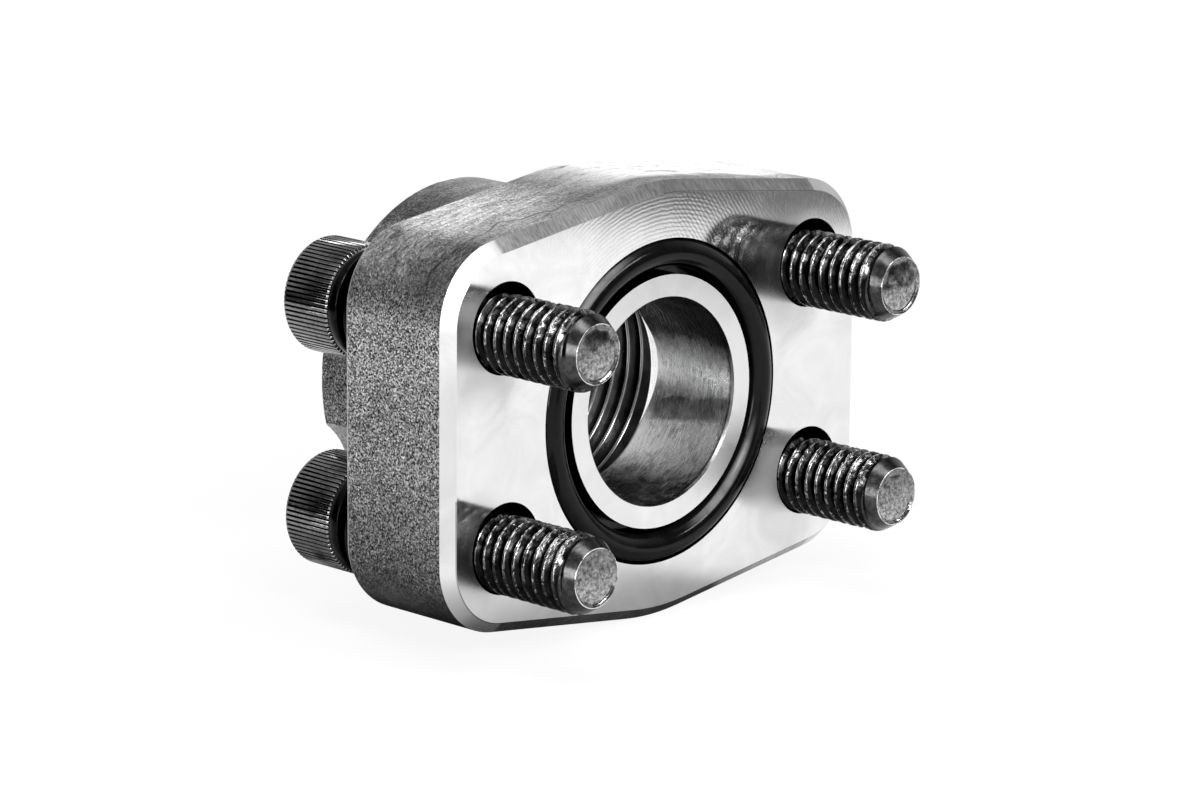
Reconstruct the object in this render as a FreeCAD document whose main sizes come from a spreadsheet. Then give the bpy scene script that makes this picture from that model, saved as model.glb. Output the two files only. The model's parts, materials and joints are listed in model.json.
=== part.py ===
import FreeCAD, Part
import os
import re

import Sketcher

# A threaded flange for a four-bolt hydraulic port, as a kit: one forged and machined
# block with a threaded hub, its face seal, four socket head screws and their spring
# washers, pushed through the block and not yet bolted to anything.
#
# The origin is the centre of the port on the machined mating face. The block's long
# side runs along X, Z is up, and the hub points along +Y, so the screws stand out
# of the mating face towards -Y. The screws lie at the bottom of their clearance holes.

# Driving dimensions, in millimetres and degrees
SIZES = {
    # forged block
    "block_length": 71.2,
    "block_height": 53.2,
    "block_thickness": 17.4,
    "slope_angle": 7.6,
    "corner_radius": 9.5,
    "apex_radius": 34.0,
    "face_chamfer": 1.4,
    "rear_edge_radius": 1.0,
    # four-bolt pattern, with the seats that are spot-faced into the back and the hub
    "bolt_spacing_long": 52.4,
    "bolt_spacing_short": 26.2,
    "bolt_hole_diameter": 11.0,
    "seat_diameter": 18.4,
    "seat_depth": 0.2,
    # hub
    "overall_depth": 36.4,
    "hub_diameter": 44.1,
    "hub_root_radius": 2.5,
    "hub_rim_chamfer": 0.6,
    # plain bore, and the pipe thread behind it
    "bore_diameter": 25.0,
    "bore_length": 14.0,
    "bore_mouth_chamfer": 0.25,
    "bore_step_chamfer": 0.4,
    "thread_diameter": 33.25,
    "thread_mouth_chamfer": 1.2,
    # face seal
    "groove_diameter": 39.6,
    "groove_width": 4.4,
    "groove_depth": 2.8,
    "seal_section": 3.53,
    "seal_clearance": 0.02,
    # screws
    "screw_diameter": 9.525,
    "screw_length": 36.0,
    "screw_tip_diameter": 7.1,
    "screw_tip_chamfer": 2.0,
    "screw_pitch": 1.5875,
    "screw_thread_depth": 0.97,
    "screw_crest_flat": 0.2,
    "screw_thread_length": 17.6,
    "screw_rest_clearance": 0.1,
    "head_diameter": 14.0,
    "head_height": 9.525,
    "head_rim_chamfer": 0.7,
    "head_foot_chamfer": 0.25,
    "socket_width": 7.94,
    "socket_depth": 4.8,
    "socket_point": 1.6,
    # how far each screw happens to be turned about its own axis
    "screw_turn_top_left": 12.0,
    "screw_turn_top_right": 43.0,
    "screw_turn_bottom_left": 31.0,
    "screw_turn_bottom_right": 54.0,
    # spring washers, as they are before they are tightened flat
    "washer_outside": 14.0,
    "washer_inside": 9.9,
    "washer_thickness": 2.1,
    "washer_turn": 0.97,
    "washer_split_angle": 45.0,
    "washer_clearance": 0.03,
}

# Places and sizes that follow from the driving ones
DERIVED = {
    "half_length": "block_length / 2",
    "apex_rise": "block_height / 2 + apex_radius * (1 / cos(slope_angle) - 1)",
    "end_rise": "apex_rise - half_length * tan(slope_angle)",
    "seat_level": "block_thickness - seat_depth",
    "hub_length": "overall_depth - block_thickness",
    "bore_radius": "bore_diameter / 2",
    "thread_radius": "thread_diameter / 2",
    "seal_section_radius": "seal_section / 2",
    "seal_radius": "groove_diameter / 2 - seal_section_radius - seal_clearance",
    "seal_level": "groove_depth - seal_section_radius - seal_clearance",
    "shank_radius": "screw_diameter / 2",
    "head_radius": "head_diameter / 2",
    "screw_mouth_half": "(screw_pitch - screw_crest_flat) / 2",
    "screw_root_half": "screw_mouth_half - screw_thread_depth * tan(30)",
    "screw_root_radius": "shank_radius - screw_thread_depth",
    "screw_thread_start": "-screw_length - screw_pitch / 2",
    "screw_thread_turns": "screw_thread_length / screw_pitch + 1 / 2",
    "socket_radius": "socket_width / 2 / cos(30)",
    "socket_floor": "head_height - socket_depth",
    "screw_drop": "bolt_hole_diameter / 2 - shank_radius - screw_rest_clearance",
    "washer_level": "seat_level + washer_clearance",
    "washer_height": "washer_thickness * (1 + washer_turn)",
    "washer_drop": "screw_drop + washer_inside / 2 - shank_radius - washer_clearance",
    "bearing_level": "washer_level + washer_height + washer_clearance",
}

# How far a cut runs past the surface that it starts from
CUT_MARGIN = 1.0
THREAD_CUT_MARGIN = 0.1

doc = FreeCAD.newDocument("threaded_flange")
sheet = doc.addObject("Spreadsheet::Sheet", "sizes")
working = doc.addObject("Spreadsheet::Sheet", "working")

contents = {name: str(size) for name, size in SIZES.items()}
contents.update({name: f"={formula}" for name, formula in DERIVED.items()})
for row, (name, content) in enumerate(contents.items(), start=1):
    sheet.set(f"A{row}", name)
    sheet.set(f"B{row}", content)
    sheet.setAlias(f"B{row}", name)
doc.recompute()


def bound(formula):
    """A formula with the name of each size in it read from the sheet."""
    return re.sub("[a-z_]+", lambda word: f"sizes.{word[0]}" if word[0] in contents else word[0], formula)


def work_out(formula):
    """What a formula comes to, by way of a working sheet's one cell."""
    working.set("A1", f"={bound(formula)}")
    working.recompute()
    return float(working.get("A1"))


def new_body(name):
    body = doc.addObject("PartDesign::Body", name)
    body.Label = name
    return body


def new_sketch(body, name, role, level=None):
    """A sketch on one of the body's origin planes; level is its place along +Y."""
    plane = next(f for f in body.Origin.OriginFeatures if f.Role == role)
    sketch = body.newObject("Sketcher::SketchObject", name)
    sketch.AttachmentSupport = [(plane, "")]
    sketch.MapMode = "FlatFace"
    if level:
        sketch.setExpression("AttachmentOffset.Base.z", bound(f"-({level})"))
    return sketch


def dimension(sketch, name, formula, kind, *places):
    """A named dimension of a sketch that follows a formula."""
    sketch.addConstraint(Sketcher.Constraint(kind, *places, work_out(formula)))
    index = sketch.ConstraintCount - 1
    sketch.renameConstraint(index, name)
    sketch.setExpression(f"Constraints.{name}", bound(formula))


def draw_outline(sketch, corners):
    """A closed outline of straight sides; each corner is a name with its two coordinates."""
    points = [FreeCAD.Vector(work_out(across), work_out(up), 0) for _, across, up in corners]
    for start, end in zip(points, points[1:] + points[:1]):
        sketch.addGeometry(Part.LineSegment(start, end))
    for index, (name, across, up) in enumerate(corners):
        following = (index + 1) % len(corners)
        sketch.addConstraint(Sketcher.Constraint("Coincident", index, 2, following, 1))
        dimension(sketch, f"{name}_x", across, "DistanceX", -1, 1, index, 1)
        dimension(sketch, f"{name}_y", up, "DistanceY", -1, 1, index, 1)


def draw_circle(sketch, name, across, up, diameter):
    """A circle whose centre and diameter follow formulas."""
    centre = FreeCAD.Vector(work_out(across), work_out(up), 0)
    circle = Part.Circle(centre, FreeCAD.Vector(0, 0, 1), work_out(diameter) / 2)
    index = sketch.addGeometry(circle)
    dimension(sketch, f"{name}_x", across, "DistanceX", -1, 1, index, 3)
    dimension(sketch, f"{name}_y", up, "DistanceY", -1, 1, index, 3)
    dimension(sketch, f"{name}_diameter", diameter, "Diameter", index)


def pad(body, sketch, length):
    """Material from the sketch's plane towards +Y."""
    feature = body.newObject("PartDesign::Pad", f"{sketch.Name}_pad")
    feature.Profile = sketch
    feature.Reversed = True
    feature.setExpression("Length", bound(length))
    doc.recompute()


def check_cut(body, feature, volume_before):
    doc.recompute()
    if body.Shape.Volume >= volume_before:
        raise RuntimeError(f"{feature.Name} cuts nothing")


def pocket(body, sketch, length, towards_hub=True, refine=True):
    """A cut from the sketch's plane towards +Y, or back from it."""
    doc.recompute()
    volume_before = body.Shape.Volume
    feature = body.newObject("PartDesign::Pocket", f"{sketch.Name}_pocket")
    feature.Profile = sketch
    feature.Reversed = not towards_hub
    feature.Refine = refine
    feature.setExpression("Length", bound(length))
    check_cut(body, feature, volume_before)


def turn(body, sketch, refine=True):
    """Material turned about the Y axis."""
    feature = body.newObject("PartDesign::Revolution", f"{sketch.Name}_turned")
    feature.Profile = sketch
    feature.ReferenceAxis = (sketch, ["V_Axis"])
    feature.Angle = 360
    feature.Refine = refine
    doc.recompute()


def bore_out(body, sketch, refine=True):
    """A cut turned about the Y axis."""
    doc.recompute()
    volume_before = body.Shape.Volume
    feature = body.newObject("PartDesign::Groove", f"{sketch.Name}_bored")
    feature.Profile = sketch
    feature.ReferenceAxis = (sketch, ["V_Axis"])
    feature.Angle = 360
    feature.Refine = refine
    check_cut(body, feature, volume_before)


def dress(body, kind, name, edge_test, setting, size):
    """A Fillet or a Chamfer on the edges that pass a test."""
    doc.recompute()
    tip = body.Tip
    edges = [f"Edge{i}" for i, edge in enumerate(tip.Shape.Edges, start=1) if edge_test(edge)]
    feature = body.newObject(f"PartDesign::{kind}", name)
    feature.Base = (tip, edges)
    feature.setExpression(setting, bound(size))
    doc.recompute()


def near(a, b):
    return abs(a - b) < 0.001


def upright_at(distance):
    """A test for straight edges parallel to Y, so far to either side of the middle."""

    def test(edge):
        box = edge.BoundBox
        upright = near(box.XLength, 0) and near(box.ZLength, 0) and not near(box.YLength, 0)
        return upright and near(abs(box.XMin), distance)

    return test


def level_at(level):
    """A test for edges that lie wholly in one plane across Y."""
    return lambda edge: near(edge.BoundBox.YMin, level) and near(edge.BoundBox.YMax, level)


def circle_at(level, radius):
    """A test for round edges of one radius in one plane across Y."""
    in_plane = level_at(level)

    def test(edge):
        return in_plane(edge) and isinstance(edge.Curve, Part.Circle) and near(edge.Curve.Radius, radius)

    return test


def bolt_places():
    """The four bolt holes: each one's name and its place across and up the face."""
    for height_name, up in (("top", ""), ("bottom", "-")):
        for side_name, across in (("left", "-"), ("right", "")):
            yield (
                f"{height_name}_{side_name}",
                f"{across}bolt_spacing_long / 2",
                f"{up}bolt_spacing_short / 2",
            )


def draw_bolt_circles(sketch, diameter):
    for place, across, up in bolt_places():
        draw_circle(sketch, place, across, up, diameter)


def forge_block(body):
    """The six-sided block, rounded at its four corners and its two blunt apexes."""
    outline = new_sketch(body, "outline", "XZ_Plane")
    draw_outline(outline, [
        ("top_apex", "0", "apex_rise"),
        ("top_right", "half_length", "end_rise"),
        ("bottom_right", "half_length", "-end_rise"),
        ("bottom_apex", "0", "-apex_rise"),
        ("bottom_left", "-half_length", "-end_rise"),
        ("top_left", "-half_length", "end_rise"),
    ])
    pad(body, outline, "block_thickness")
    corners = upright_at(work_out("half_length"))
    dress(body, "Fillet", "corner_rounds", corners, "Radius", "corner_radius")
    dress(body, "Fillet", "apex_rounds", upright_at(0), "Radius", "apex_radius")
    dress(body, "Chamfer", "face_edge", level_at(0), "Size", "face_chamfer")
    back = level_at(work_out("block_thickness"))
    dress(body, "Fillet", "rear_edge", back, "Radius", "rear_edge_radius")


def forge_hub(body):
    """The round hub, which flares into the back of the block."""
    circle = new_sketch(body, "hub", "XZ_Plane", level="block_thickness")
    draw_circle(circle, "circle", "0", "0", "hub_diameter")
    pad(body, circle, "hub_length")
    radius = work_out("hub_diameter / 2")
    root = circle_at(work_out("block_thickness"), radius)
    dress(body, "Fillet", "hub_root", root, "Radius", "hub_root_radius")
    rim = circle_at(work_out("overall_depth"), radius)
    dress(body, "Chamfer", "hub_rim", rim, "Size", "hub_rim_chamfer")


def cut_screw_seats(body):
    """Flat round seats for the washers, cut from behind, so they also scallop the hub."""
    circles = new_sketch(body, "seats", "XZ_Plane", level="seat_level")
    draw_bolt_circles(circles, "seat_diameter")
    pocket(body, circles, f"hub_length + seat_depth + {CUT_MARGIN}")


def bore_port(body):
    """The plain bore and the wider tapped hole behind it, at the thread's outer diameter."""
    section = new_sketch(body, "port", "XY_Plane")
    draw_outline(section, [
        ("front_axis", "0", f"-{CUT_MARGIN}"),
        ("front", "bore_radius + bore_mouth_chamfer", f"-{CUT_MARGIN}"),
        ("mouth", "bore_radius + bore_mouth_chamfer", "0"),
        ("bore_start", "bore_radius", "bore_mouth_chamfer"),
        ("bore_end", "bore_radius", "bore_length - bore_step_chamfer"),
        ("step", "bore_radius + bore_step_chamfer", "bore_length"),
        ("thread_start", "thread_radius", "bore_length"),
        ("thread_end", "thread_radius", "overall_depth - thread_mouth_chamfer"),
        ("thread_mouth", "thread_radius + thread_mouth_chamfer", "overall_depth"),
        ("rear", "thread_radius + thread_mouth_chamfer", f"overall_depth + {CUT_MARGIN}"),
        ("rear_axis", "0", f"overall_depth + {CUT_MARGIN}"),
    ])
    bore_out(body, section)


def cut_seal_groove(body):
    rings = new_sketch(body, "groove", "XZ_Plane")
    draw_circle(rings, "outer", "0", "0", "groove_diameter")
    draw_circle(rings, "inner", "0", "0", "groove_diameter - 2 * groove_width")
    pocket(body, rings, "groove_depth")


def drill_bolt_holes(body):
    circles = new_sketch(body, "holes", "XZ_Plane")
    draw_bolt_circles(circles, "bolt_hole_diameter")
    pocket(body, circles, "block_thickness")


def flange_body():
    """The block and hub are one forging, machined on its face, its seats and its bores."""
    body = new_body("flange_body")
    forge_block(body)
    forge_hub(body)
    cut_screw_seats(body)
    bore_port(body)
    cut_seal_groove(body)
    drill_bolt_holes(body)
    return body


def seal_ring():
    """The face seal lies on the floor of its groove, against the outer wall."""
    body = new_body("o_ring")
    section = new_sketch(body, "seal", "XY_Plane")
    draw_circle(section, "section", "seal_radius", "seal_level", "seal_section")
    turn(body, section)
    return body


def put(body, across, level, up, turned):
    """Places a body that is drawn about its own origin, and turns it from +X towards +Z."""
    body.Placement.Rotation = FreeCAD.Rotation(FreeCAD.Vector(0, -1, 0), 0)
    body.setExpression("Placement.Rotation.Angle", bound(turned))
    for axis, formula in (("x", across), ("y", level), ("z", up)):
        body.setExpression(f"Placement.Base.{axis}", bound(formula))


def cut_thread(body, name):
    """A right-handed 60 degree thread with flat crests and roots, from the screw's end to inside the block."""
    groove = new_sketch(body, f"{name}_thread", "XY_Plane")
    outside = f"shank_radius + {THREAD_CUT_MARGIN}"
    mouth = f"(screw_mouth_half + {THREAD_CUT_MARGIN} * tan(30))"
    draw_outline(groove, [
        ("root_front", "screw_root_radius", "screw_thread_start - screw_root_half"),
        ("mouth_front", outside, f"screw_thread_start - {mouth}"),
        ("mouth_back", outside, f"screw_thread_start + {mouth}"),
        ("root_back", "screw_root_radius", "screw_thread_start + screw_root_half"),
    ])
    doc.recompute()
    volume_before = body.Shape.Volume
    thread = body.newObject("PartDesign::SubtractiveHelix", f"{name}_thread_cut")
    thread.Profile = groove
    thread.ReferenceAxis = (groove, ["V_Axis"])
    thread.Mode = "pitch-turns-angle"
    thread.Refine = False
    thread.setExpression("Pitch", bound("screw_pitch"))
    thread.setExpression("Turns", bound("screw_thread_turns"))
    check_cut(body, thread, volume_before)


def screw(place, across, up):
    """A socket head screw, drawn with its bearing face across its own origin."""
    name = f"screw_{place}"
    body = new_body(name)
    section = new_sketch(body, f"{name}_section", "XY_Plane")
    draw_outline(section, [
        ("tip_axis", "0", "-screw_length"),
        ("tip", "screw_tip_diameter / 2", "-screw_length"),
        ("shank_start", "shank_radius", "screw_tip_chamfer - screw_length"),
        ("neck", "shank_radius", "0"),
        ("bearing_face", "head_radius - head_foot_chamfer", "0"),
        ("head_foot", "head_radius", "head_foot_chamfer"),
        ("head_side", "head_radius", "head_height - head_rim_chamfer"),
        ("head_rim", "head_radius - head_rim_chamfer", "head_height"),
        ("head_axis", "0", "head_height"),
    ])
    turn(body, section, refine=False)
    cut_thread(body, name)

    hexagon = new_sketch(body, f"{name}_socket", "XZ_Plane", level="head_height")
    draw_outline(hexagon, [
        (f"corner_{side}", f"socket_radius * cos({60 * side})", f"socket_radius * sin({60 * side})")
        for side in range(6)
    ])
    pocket(body, hexagon, "socket_depth", towards_hub=False, refine=False)

    point = new_sketch(body, f"{name}_socket_point", "XY_Plane")
    draw_outline(point, [
        ("apex", "0", "socket_floor - socket_point"),
        ("rim", "socket_width / 2", "socket_floor"),
        ("middle", "0", "socket_floor"),
    ])
    bore_out(body, point, refine=False)
    put(body, across, "bearing_level", f"{up} - screw_drop", f"screw_turn_{place}")
    return body


def washer(place, across, up):
    """A split spring washer: one turn of a square left-hand coil, with its low end on the block."""
    name = f"washer_{place}"
    body = new_body(name)
    section = new_sketch(body, f"{name}_section", "XY_Plane")
    draw_outline(section, [
        ("inner_foot", "washer_inside / 2", "0"),
        ("outer_foot", "washer_outside / 2", "0"),
        ("outer_top", "washer_outside / 2", "washer_thickness"),
        ("inner_top", "washer_inside / 2", "washer_thickness"),
    ])
    coil = body.newObject("PartDesign::AdditiveHelix", f"{name}_coil")
    coil.Profile = section
    coil.ReferenceAxis = (section, ["V_Axis"])
    coil.Mode = "pitch-turns-angle"
    coil.LeftHanded = True
    coil.setExpression("Pitch", bound("washer_thickness"))
    coil.setExpression("Turns", bound("washer_turn"))
    doc.recompute()
    put(body, across, "washer_level", f"{up} - washer_drop", "washer_split_angle")
    return body


nodes = [flange_body(), seal_ring()]
for bolt_place, bolt_across, bolt_up in bolt_places():
    nodes.append(screw(bolt_place, bolt_across, bolt_up))
    nodes.append(washer(bolt_place, bolt_across, bolt_up))
doc.recompute()

for item in doc.Objects:
    if "Invalid" in item.State or "Error" in item.State:
        raise RuntimeError(f"{item.Label} failed to build: {item.State}")
for node in nodes:
    if node.Shape.isNull() or not node.Shape.isValid() or len(node.Shape.Solids) != 1:
        raise RuntimeError(f"{node.Label} is not one sound solid")

os.makedirs("parts", exist_ok=True)
for node in nodes:
    node.Shape.exportStep(f"parts/{node.Label}.step")
    box = node.Shape.BoundBox
    print(f"{node.Label}: {node.Shape.Volume:.1f} mm3, x {box.XMin:.2f} to {box.XMax:.2f}, "
          f"y {box.YMin:.2f} to {box.YMax:.2f}, z {box.ZMin:.2f} to {box.ZMax:.2f}")
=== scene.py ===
import json
import math

import bmesh
import bpy
from mathutils import Matrix, Vector, noise


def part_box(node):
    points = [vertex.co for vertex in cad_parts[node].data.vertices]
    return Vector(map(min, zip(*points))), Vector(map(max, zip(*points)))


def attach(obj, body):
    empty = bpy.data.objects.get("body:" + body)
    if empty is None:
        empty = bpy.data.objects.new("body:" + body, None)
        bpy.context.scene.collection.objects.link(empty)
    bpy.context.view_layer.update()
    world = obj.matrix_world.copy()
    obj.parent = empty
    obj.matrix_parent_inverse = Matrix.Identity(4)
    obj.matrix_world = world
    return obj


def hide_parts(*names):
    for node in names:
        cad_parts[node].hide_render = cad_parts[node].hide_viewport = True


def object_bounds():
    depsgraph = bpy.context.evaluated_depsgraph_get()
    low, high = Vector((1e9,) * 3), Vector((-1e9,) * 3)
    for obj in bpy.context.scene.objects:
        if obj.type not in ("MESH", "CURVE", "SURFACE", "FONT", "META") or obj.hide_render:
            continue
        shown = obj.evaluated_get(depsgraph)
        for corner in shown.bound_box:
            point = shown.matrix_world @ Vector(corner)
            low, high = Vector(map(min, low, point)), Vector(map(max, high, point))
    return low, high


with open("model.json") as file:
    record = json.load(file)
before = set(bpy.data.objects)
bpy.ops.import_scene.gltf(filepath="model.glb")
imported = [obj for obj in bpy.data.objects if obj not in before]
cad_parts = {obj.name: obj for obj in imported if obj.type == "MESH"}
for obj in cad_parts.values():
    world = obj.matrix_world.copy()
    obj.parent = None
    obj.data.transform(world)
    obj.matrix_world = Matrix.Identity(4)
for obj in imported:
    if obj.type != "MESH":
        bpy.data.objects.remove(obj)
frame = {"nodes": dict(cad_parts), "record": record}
cad_low, cad_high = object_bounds()

# A threaded flange for a four-bolt hydraulic port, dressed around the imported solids.
# All lengths are in metres, in the part's own frame: the mating face lies at Y = 0 and
# looks along -Y, Z is up, and the bore runs along Y through the origin. The materials
# reckon in millimetres.

MM = 0.001
TURN = 2 * math.pi

mounts = {mount["name"]: mount for mount in frame["record"]["mounts"]}
BOLT_X = mounts["screw_ends"]["dims"]["spacing_x_mm"] * MM / 2
BOLT_Z = mounts["screw_ends"]["dims"]["spacing_y_mm"] * MM / 2
SCREW_RADIUS = mounts["screw_ends"]["dims"]["stud_r_mm"] * MM
BORE_RADIUS = mounts["port_bore"]["dims"]["r_mm"] * MM
BORE_LENGTH = 14.0 * MM
THREAD_RADIUS = mounts["rear_thread"]["dims"]["r_mm"] * MM
HUB_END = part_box("flange_body")[1].y
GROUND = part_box("flange_body")[0].z

# machined places on the forging
FACE_CHAMFER = 1.4 * MM
GROOVE_RADIUS = 19.8 * MM
GROOVE_WIDTH = 4.4 * MM
SEAT_LEVEL = 17.2 * MM
SEAT_RADIUS = 9.2 * MM
HOLE_RADIUS = 5.5 * MM
THREAD_MOUTH = 1.2 * MM
HUB_RIM = 0.6 * MM

# in millimetres: where the face ends, the centres of the painted dark reflections of the screws beside two
# bolt holes, the centre of the chatter
FACE_LEVEL = 0.01
PAINTED_SCREW_REFLECTION_LEFT = (-31.0, 0.0, -12.5)
PAINTED_SCREW_REFLECTION_RIGHT = (20.0, 0.0, 15.5)
CHATTER_CENTRE = (-45.0, 0.0, -20.0)

# the height of grain and tool marks in each material
SKIN_RELIEF = 0.085 * MM
METAL_RELIEF = 0.0028 * MM
SCREW_RELIEF = 0.035 * MM
WASHER_RELIEF = 0.012 * MM
SEAL_RELIEF = 0.006 * MM

# screw, with 16 threads an inch
PITCH = 25.4 / 16 * MM
THREAD_DEPTH = 0.97 * MM
THREAD_LENGTH = 17.6 * MM
CREST_ROUND = 0.28 * MM
TIP_RADIUS = 3.55 * MM
TIP_CHAMFER = 2.0 * MM
HEAD_RADIUS = 7.0 * MM
HEAD_HEIGHT = 9.525 * MM
RING_RADIUS = 6.86 * MM
RING_WIDTH = 1.55 * MM
HEAD_CHAMFER = 0.7 * MM
FOOT_CHAMFER = 0.25 * MM
KNURL_RIBS = 75
KNURL_DEPTH = 0.32 * MM
SOCKET_APOTHEM = 7.94 / 2 * MM
SOCKET_DEPTH = 4.8 * MM
SOCKET_POINT = 1.6 * MM

SCREW_TURNS = {"top_left": 12, "top_right": 43, "bottom_left": 31, "bottom_right": 54}

# washer
WASHER_THICKNESS = 2.1 * MM
WASHER_TURN = 0.97
WASHER_OUTSIDE = 7.0 * MM
WASHER_INSIDE = 4.95 * MM
WASHER_SPLIT = math.radians(45)
WASHER_EDGE = 0.2 * MM
WASHER_CLEARANCE = 0.03 * MM
WASHER_DROP = WASHER_INSIDE - SCREW_RADIUS - WASHER_CLEARANCE

# seal
SEAL_SECTION = 3.53 / 2 * MM
FLASH_HEIGHT = 0.03 * MM
PAINTED_SHEEN_SIDE = (-0.5, -0.7, 0.5)

# pipe thread in the hub, 11 threads an inch
PIPE_PITCH = 25.4 / 11 * MM
PIPE_DEPTH = 0.6403 * PIPE_PITCH
PIPE_START = 15.5 * MM
PIPE_ROUND = 0.25 * MM


class Nodes:
    """The node tree of one material, with short calls for the nodes that it needs most."""

    def __init__(self, name):
        self.material = bpy.data.materials.new(name)
        self.material.use_nodes = True
        self.tree = self.material.node_tree
        self.tree.nodes.clear()
        self.output = self.tree.nodes.new("ShaderNodeOutputMaterial")

    def node(self, kind, inputs=None, **settings):
        made = self.tree.nodes.new(f"ShaderNode{kind}")
        for name, setting in settings.items():
            setattr(made, name, setting)
        for socket, value in (inputs or {}).items():
            self.give(made.inputs[socket], value)
        return made

    def give(self, socket, value):
        """Links a socket to another one, or sets it to a plain value."""
        if isinstance(value, bpy.types.NodeSocket):
            self.tree.links.new(value, socket)
        elif socket.type == "RGBA":
            socket.default_value = grey(value) if isinstance(value, float) else (*value, 1)
        else:
            socket.default_value = value

    def math(self, operation, *values, clamp=False):
        inputs = dict(enumerate(values))
        return self.node("Math", inputs, operation=operation, use_clamp=clamp).outputs[0]

    def plus(self, a, b):
        return self.math("ADD", a, b)

    def minus(self, a, b):
        return self.math("SUBTRACT", a, b)

    def size(self, value):
        """Value without its sign."""
        return self.math("ABSOLUTE", value)

    def vector(self, operation, a, b=None, scale=None):
        made = self.node("VectorMath", {0: a}, operation=operation)
        if b is not None:
            self.give(made.inputs[1], b)
        if scale is not None:
            self.give(made.inputs["Scale"], scale)
        return made.outputs["Value" if operation == "LENGTH" else "Vector"]

    def place(self):
        """The place on the piece, in millimetres."""
        here = self.node("TexCoord").outputs["Object"]
        return self.vector("SCALE", here, scale=1 / MM)

    def distance(self, vector, spot):
        return self.vector("LENGTH", self.vector("SUBTRACT", vector, spot))

    def parts(self, vector):
        return self.node("SeparateXYZ", {0: vector}).outputs

    def joined(self, x, y, z):
        return self.node("CombineXYZ", {0: x, 1: y, 2: z}).outputs[0]

    def noise(self, vector, scale, detail=2.0, roughness=0.5, distortion=0.0):
        inputs = {"Vector": vector, "Scale": scale, "Detail": detail, "Roughness": roughness,
                  "Distortion": distortion}
        return self.node("TexNoise", inputs).outputs[0]

    def rings(self, vector, distortion, detail_scale):
        """Wavering rings round the Y axis."""
        inputs = {"Vector": vector, "Scale": 0.62, "Distortion": distortion, "Detail": 3.0,
                  "Detail Scale": detail_scale}
        return self.node("TexWave", inputs, wave_type="RINGS", rings_direction="Y").outputs[1]

    def step(self, value, low, high, bottom=0.0, top=1.0):
        """A smooth step of value from bottom at low to top at high."""
        inputs = {"Value": value, "From Min": low, "From Max": high, "To Min": bottom, "To Max": top}
        return self.node("MapRange", inputs, interpolation_type="SMOOTHSTEP").outputs[0]

    def spread(self, value, low, high, bottom=0.0, top=1.0):
        """Value brought from the range low to high into the range bottom to top."""
        inputs = {"Value": value, "From Min": low, "From Max": high, "To Min": bottom, "To Max": top}
        return self.node("MapRange", inputs).outputs[0]

    def below(self, value, limit):
        return self.math("LESS_THAN", value, limit)

    def above(self, value, limit):
        return self.math("GREATER_THAN", value, limit)

    def all_of(self, *masks):
        """The share where every mask holds."""
        result = masks[0]
        for mask in masks[1:]:
            result = self.math("MULTIPLY", result, mask)
        return result

    def any_of(self, *masks):
        """The share where some mask holds."""
        result = masks[0]
        for mask in masks[1:]:
            result = self.math("MAXIMUM", result, mask)
        return result

    def without(self, mask, other):
        """The share of a mask that lies outside another."""
        return self.math("SUBTRACT", mask, other, clamp=True)

    def times(self, a, b):
        return self.math("MULTIPLY", a, b)

    def mix(self, share, a, b):
        """A number between a, where share is 0, and b, where it is 1."""
        return self.node("Mix", {0: share, 2: a, 3: b}, data_type="FLOAT").outputs[0]

    def scaled(self, value, share, factor):
        """Value, times factor where share is 1."""
        return self.times(value, self.mix(share, 1.0, factor))

    def shade(self, value):
        """A neutral grey of that value."""
        return self.joined(value, value, value)

    def bump(self, height, distance):
        return self.node("Bump", {"Height": height, "Distance": distance}).outputs[0]

    def finish(self, **inputs):
        """The principled surface; names are its sockets, with underscores for spaces."""
        sockets = {name.replace("_", " "): value for name, value in inputs.items()}
        surface = self.node("BsdfPrincipled", sockets)
        self.tree.links.new(surface.outputs[0], self.output.inputs[0])
        return self.material


def grey(value):
    return (value, value, value, 1)


def flange_places(n, place):
    """Masks of the places that were cut in the forging, by name, and the distance from the port's axis."""
    x, y, z = n.parts(place)
    from_axis = n.vector("LENGTH", n.joined(x, 0.0, z))
    across = n.minus(n.size(x), BOLT_X / MM)
    up = n.minus(n.size(z), BOLT_Z / MM)
    from_bolt = n.vector("LENGTH", n.joined(across, 0.0, up))
    seat_level = SEAT_LEVEL / MM
    groove_inside = (GROOVE_RADIUS - GROOVE_WIDTH) / MM
    at_seat = n.below(from_bolt, SEAT_RADIUS / MM + 0.03)
    behind_face = n.above(y, FACE_LEVEL)
    on = {
        "face": n.below(y, FACE_LEVEL),
        "hole": n.all_of(behind_face, n.below(from_bolt, HOLE_RADIUS / MM + 0.05)),
        "bore": n.all_of(behind_face, n.below(from_axis, BORE_RADIUS / MM + 0.3)),
        "tapped": n.all_of(n.above(y, BORE_LENGTH / MM - 0.6),
                           n.below(from_axis, (THREAD_RADIUS + THREAD_MOUTH) / MM + 0.05)),
        "groove": n.all_of(behind_face, n.below(y, 3.0), n.above(from_axis, groove_inside - 0.03),
                           n.below(from_axis, GROOVE_RADIUS / MM + 0.03)),
        "hub_end": n.above(y, (HUB_END - HUB_RIM) / MM - 0.05),
        "seat": n.all_of(n.above(y, seat_level - 0.05), n.below(y, seat_level + 0.05), at_seat),
        "scallop": n.all_of(n.above(y, seat_level + 0.05), at_seat),
    }
    front = n.all_of(behind_face, n.below(y, FACE_CHAMFER / MM + 0.02), n.above(from_axis, 21.0))
    on["chamfer"] = n.without(front, on["hole"])
    return on, from_axis, from_bolt


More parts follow.
